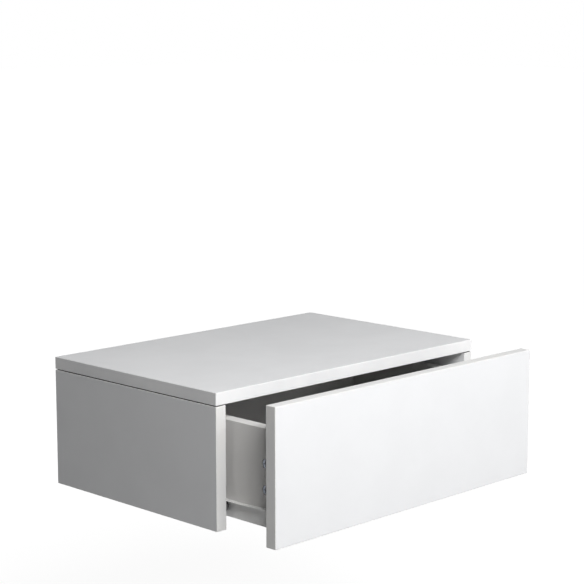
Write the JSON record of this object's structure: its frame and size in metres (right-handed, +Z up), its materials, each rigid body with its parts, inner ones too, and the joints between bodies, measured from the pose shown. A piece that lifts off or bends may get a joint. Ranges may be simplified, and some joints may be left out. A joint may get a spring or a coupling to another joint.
{
  "type": "floating nightstand",
  "caption": "Wall-hung bedside cabinet with a plain slab top and sides and a full-width handle-less drawer on roller runners, shown partly open.",
  "frame": {"origin": "middle of the wall rail's rear face, which lies against the wall", "axes": "+X along the width, to the right when the drawer is faced; +Y back into the wall; +Z up"},
  "size_m": [0.6, 0.5155, 0.214],
  "materials": {
    "white_board": "white satin-coated board with matching edge bands",
    "drawer_board": "off-white melamine board",
    "bottom_sheet": "thin grey faced fibreboard",
    "runner_paint": "white epoxy powder coat on folded steel",
    "roller_plastic": "moulded, satin, dark grey",
    "zinc_die_cast": "raw zinc die casting, blue-grey",
    "zinc_plate": "bright zinc plated steel",
    "beech": "fluted hardwood dowel",
    "spacer_plastic": "moulded, matt"
  },
  "bodies": {
    "carcass": {"top_panel": "white_board", "left_side_panel": "white_board", "right_side_panel": "white_board", "rear_board": "white_board", "left_front_top_cam": "zinc_die_cast", "left_rear_top_cam": "zinc_die_cast", "right_front_top_cam": "zinc_die_cast", "right_rear_top_cam": "zinc_die_cast", "left_front_top_cam_bolt": "zinc_plate", "left_rear_top_cam_bolt": "zinc_plate", "right_front_top_cam_bolt": "zinc_plate", "right_rear_top_cam_bolt": "zinc_plate", "left_rear_board_cam": "zinc_die_cast", "right_rear_board_cam": "zinc_die_cast", "left_rear_board_cam_bolt": "zinc_plate", "right_rear_board_cam_bolt": "zinc_plate", "left_rear_board_dowel": "beech", "right_rear_board_dowel": "beech", "wall_rail": "zinc_plate", "left_hook_bracket": "zinc_plate", "right_hook_bracket": "zinc_plate", "left_hook_bracket_screw_1": "zinc_plate", "left_hook_bracket_screw_2": "zinc_plate", "right_hook_bracket_screw_1": "zinc_plate", "right_hook_bracket_screw_2": "zinc_plate", "left_wall_spacer": "spacer_plastic", "right_wall_spacer": "spacer_plastic", "left_cabinet_runner": "runner_paint", "right_cabinet_runner": "runner_paint", "left_cabinet_runner_screw_1": "zinc_plate", "left_cabinet_runner_screw_2": "zinc_plate", "right_cabinet_runner_screw_1": "zinc_plate", "right_cabinet_runner_screw_2": "zinc_plate"},
    "drawer": {"drawer_front": "white_board", "left_drawer_side": "drawer_board", "right_drawer_side": "drawer_board", "drawer_back": "drawer_board", "drawer_bottom": "bottom_sheet", "left_lower_front_cam": "zinc_die_cast", "left_upper_front_cam": "zinc_die_cast", "right_lower_front_cam": "zinc_die_cast", "right_upper_front_cam": "zinc_die_cast", "left_lower_front_cam_bolt": "zinc_plate", "left_upper_front_cam_bolt": "zinc_plate", "right_lower_front_cam_bolt": "zinc_plate", "right_upper_front_cam_bolt": "zinc_plate", "left_lower_drawer_back_screw": "zinc_plate", "left_upper_drawer_back_screw": "zinc_plate", "right_lower_drawer_back_screw": "zinc_plate", "right_upper_drawer_back_screw": "zinc_plate", "left_drawer_runner": "runner_paint", "right_drawer_runner": "runner_paint", "left_drawer_runner_screw_1": "zinc_plate", "left_drawer_runner_screw_2": "zinc_plate", "right_drawer_runner_screw_1": "zinc_plate", "right_drawer_runner_screw_2": "zinc_plate"},
    "left_front_roller": {"left_front_roller": "roller_plastic"},
    "right_front_roller": {"right_front_roller": "roller_plastic"},
    "left_rear_roller": {"left_rear_roller": "roller_plastic"},
    "right_rear_roller": {"right_rear_roller": "roller_plastic"}
  },
  "joints": [
    {"name": "drawer_slide", "type": "slide", "parent": "carcass", "child": "drawer", "axis": [0, -1, 0], "range_m": [-0.1045, 0.1555]},
    {"name": "left_front_roller_spin", "type": "hinge", "parent": "carcass", "child": "left_front_roller", "pos_m": [-0.2742, -0.376, -0.1305], "axis": [1, 0, 0], "continuous": true},
    {"name": "right_front_roller_spin", "type": "hinge", "parent": "carcass", "child": "right_front_roller", "pos_m": [0.2742, -0.376, -0.1305], "axis": [1, 0, 0], "continuous": true},
    {"name": "left_rear_roller_spin", "type": "hinge", "parent": "drawer", "child": "left_rear_roller", "pos_m": [-0.2733, -0.16, -0.1321], "axis": [1, 0, 0], "continuous": true},
    {"name": "right_rear_roller_spin", "type": "hinge", "parent": "drawer", "child": "right_rear_roller", "pos_m": [0.2733, -0.16, -0.1321], "axis": [1, 0, 0], "continuous": true}
  ],
  "couplings": [
    {"joint": "left_front_roller_spin", "follows": "drawer_slide", "rad_per_m": 111.11},
    {"joint": "right_front_roller_spin", "follows": "drawer_slide", "rad_per_m": 111.11},
    {"joint": "left_rear_roller_spin", "follows": "drawer_slide", "rad_per_m": 111.11},
    {"joint": "right_rear_roller_spin", "follows": "drawer_slide", "rad_per_m": 111.11}
  ]
}
